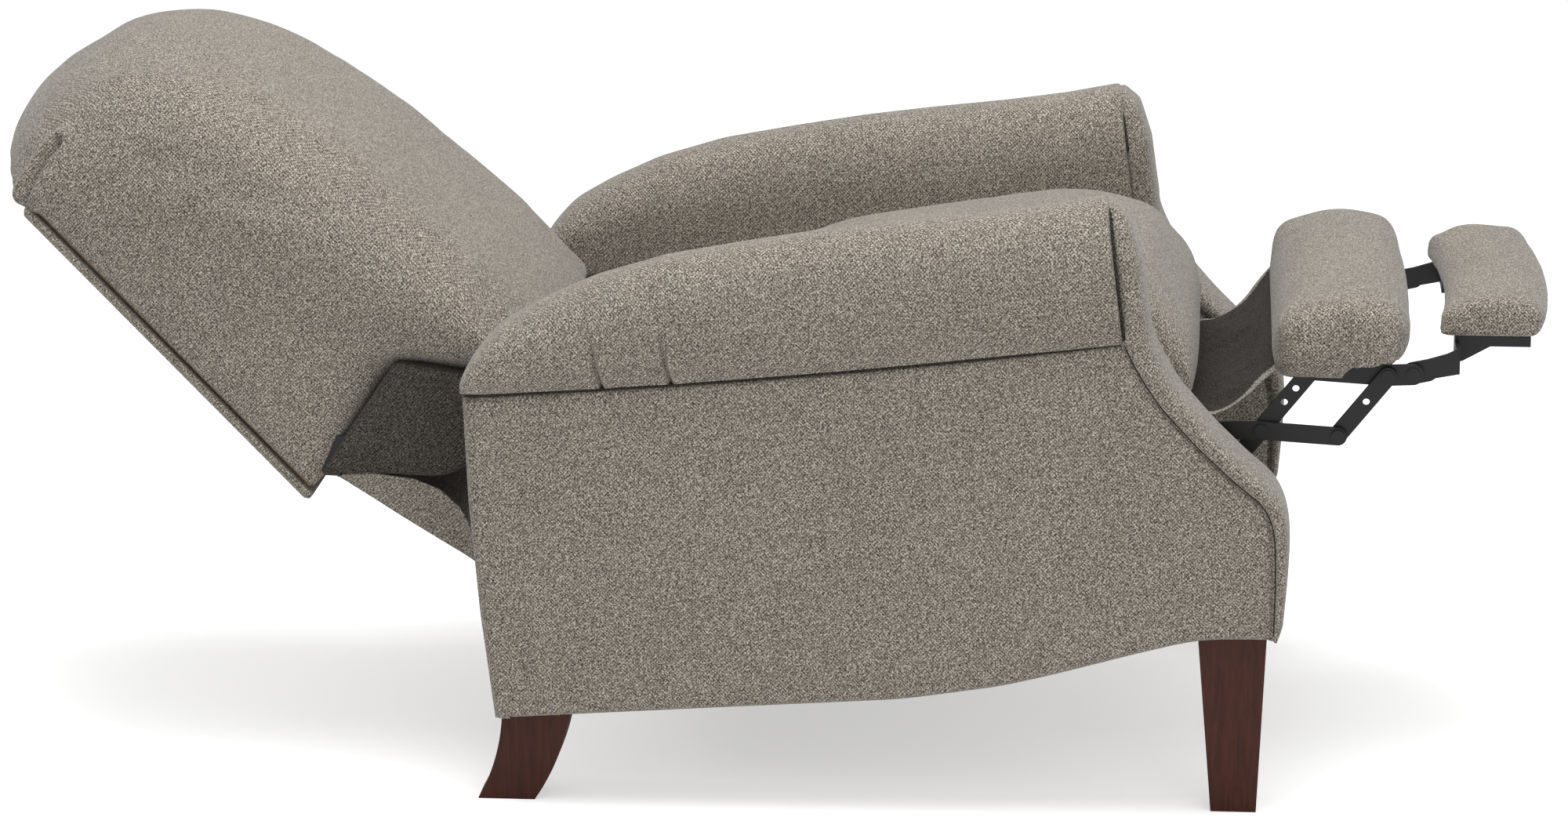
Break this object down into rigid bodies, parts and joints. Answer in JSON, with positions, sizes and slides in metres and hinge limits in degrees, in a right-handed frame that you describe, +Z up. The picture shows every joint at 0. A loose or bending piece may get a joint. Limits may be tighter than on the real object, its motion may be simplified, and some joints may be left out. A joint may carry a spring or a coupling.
{
  "type": "recliner chair",
  "caption": "Upholstered push-back recliner, leaned back: rolled arms, crowned seat, domed back, and a leg rest with flip-out foot rest on a flat-bar steel linkage, on wooden legs.",
  "frame": {"origin": "on the floor under the middle of the reclined chair", "axes": "+X towards the sitter's feet, +Y to the sitter's left, +Z up"},
  "size_m": [1.5714, 0.76, 0.727],
  "materials": {
    "upholstery": "heathered grey-taupe weave",
    "lining": "the same cloth, unpadded",
    "leg_wood": "dark brown stain, satin",
    "frame_wood": "bare plywood and pine",
    "black_steel": "satin black paint",
    "bare_steel": "plain steel"
  },
  "bodies": {
    "base": {"side_board_left": "frame_wood", "side_board_right": "frame_wood", "outside_arm_panel_left": "upholstery", "outside_arm_panel_right": "upholstery", "arm_roll_left": "upholstery", "arm_roll_right": "upholstery", "arm_facing_left": "upholstery", "arm_facing_right": "upholstery", "front_leg_left": "leg_wood", "front_leg_right": "leg_wood", "rear_leg_left": "leg_wood", "rear_leg_right": "leg_wood", "arm_posts": "frame_wood", "leg_bolts": "bare_steel", "front_stretcher": "frame_wood", "rear_rail": "frame_wood", "base_plate_left": "black_steel", "base_plate_right": "black_steel", "base_plate_screws": "bare_steel", "base_pins": "black_steel", "rear_apron": "lining"},
    "back": {"back_posts": "frame_wood", "back_top_rail": "frame_wood", "back_lower_rail": "frame_wood", "back_webbing": "lining", "outside_back_panel": "upholstery", "back_bracket_left": "black_steel", "back_bracket_right": "black_steel", "drive_pins": "black_steel", "back_cushion": "upholstery", "lower_inside_back": "lining"},
    "front_swing": {"front_swing_links": "black_steel"},
    "rear_swing": {"rear_swing_links": "black_steel"},
    "seat": {"seat_plate_left": "black_steel", "seat_plate_right": "black_steel", "seat_cross_tubes": "black_steel", "seat_pins": "black_steel", "seat_side_rails": "frame_wood", "seat_front_rail": "frame_wood", "seat_rear_rail": "frame_wood", "seat_springs": "bare_steel", "seat_cushion": "upholstery", "leg_rest_flap": "lining"},
    "main_links": {"main_link_left": "black_steel", "main_link_right": "black_steel"},
    "lift_links": {"lift_link_left": "black_steel", "lift_link_right": "black_steel"},
    "carrier_links": {"carrier_link_left": "black_steel", "carrier_link_right": "black_steel"},
    "control_links": {"control_links": "black_steel"},
    "leg_rest": {"leg_rest_bracket_left": "black_steel", "leg_rest_bracket_right": "black_steel", "leg_rest_board": "frame_wood", "leg_rest_pad": "upholstery"},
    "foot_rest": {"foot_rest_bracket_left": "black_steel", "foot_rest_bracket_right": "black_steel", "foot_board": "frame_wood", "foot_pad": "upholstery"}
  },
  "joints": [
    {"name": "back_recline", "type": "hinge", "parent": "base", "child": "back", "pos_m": [-0.18211, 0, 0.346], "axis": [0, 1, 0], "range_deg": [0, 40], "deforming": ["rear_apron"]},
    {"name": "front_swing", "type": "hinge", "parent": "base", "child": "front_swing", "pos_m": [0.22989, 0, 0.19], "axis": [0, 1, 0], "range_deg": [-22.45, 0.05]},
    {"name": "rear_swing", "type": "hinge", "parent": "base", "child": "rear_swing", "pos_m": [-0.06011, 0, 0.19], "axis": [0, 1, 0], "range_deg": [-22.45, 0.05]},
    {"name": "seat_carry", "type": "hinge", "parent": "front_swing", "child": "seat", "pos_m": [0.22193, 0, 0.30974], "axis": [0, 1, 0], "range_deg": [-0.05, 22.45]},
    {"name": "main_link_turn", "type": "hinge", "parent": "seat", "child": "main_links", "pos_m": [0.41089, 0, 0.346], "axis": [0, 1, 0], "range_deg": [-0.05, 85.05], "deforming": ["leg_rest_flap"]},
    {"name": "lift_link_turn", "type": "hinge", "parent": "main_links", "child": "lift_links", "pos_m": [0.49389, 0, 0.371], "axis": [0, 1, 0], "range_deg": [-110.05, 0.05]},
    {"name": "carrier_link_turn", "type": "hinge", "parent": "main_links", "child": "carrier_links", "pos_m": [0.56975, 0, 0.36649], "axis": [0, 1, 0], "range_deg": [-110.05, 0.05]},
    {"name": "leg_rest_turn", "type": "hinge", "parent": "lift_links", "child": "leg_rest", "pos_m": [0.54182, 0, 0.43126], "axis": [0, 1, 0], "range_deg": [-0.05, 110.05]},
    {"name": "control_link_turn", "type": "hinge", "parent": "seat", "child": "control_links", "pos_m": [0.38389, 0, 0.2979], "axis": [0, 1, 0], "range_deg": [-0.05, 82.3]},
    {"name": "foot_rest_flip", "type": "hinge", "parent": "leg_rest", "child": "foot_rest", "pos_m": [0.64289, 0, 0.428], "axis": [0, 1, 0], "range_deg": [-0.05, 175.05]}
  ],
  "couplings": [
    {"joint": "front_swing", "follows": "back_recline", "ratio": -0.56},
    {"joint": "rear_swing", "follows": "back_recline", "ratio": -0.56},
    {"joint": "seat_carry", "follows": "back_recline", "ratio": 0.56},
    {"joint": "main_link_turn", "follows": "back_recline", "ratio": 2.125},
    {"joint": "lift_link_turn", "follows": "back_recline", "ratio": -2.75},
    {"joint": "carrier_link_turn", "follows": "back_recline", "ratio": -2.75},
    {"joint": "leg_rest_turn", "follows": "back_recline", "ratio": 2.75},
    {"joint": "control_link_turn", "follows": "back_recline", "ratio": 2.0562},
    {"joint": "foot_rest_flip", "follows": "back_recline", "ratio": 4.375}
  ]
}
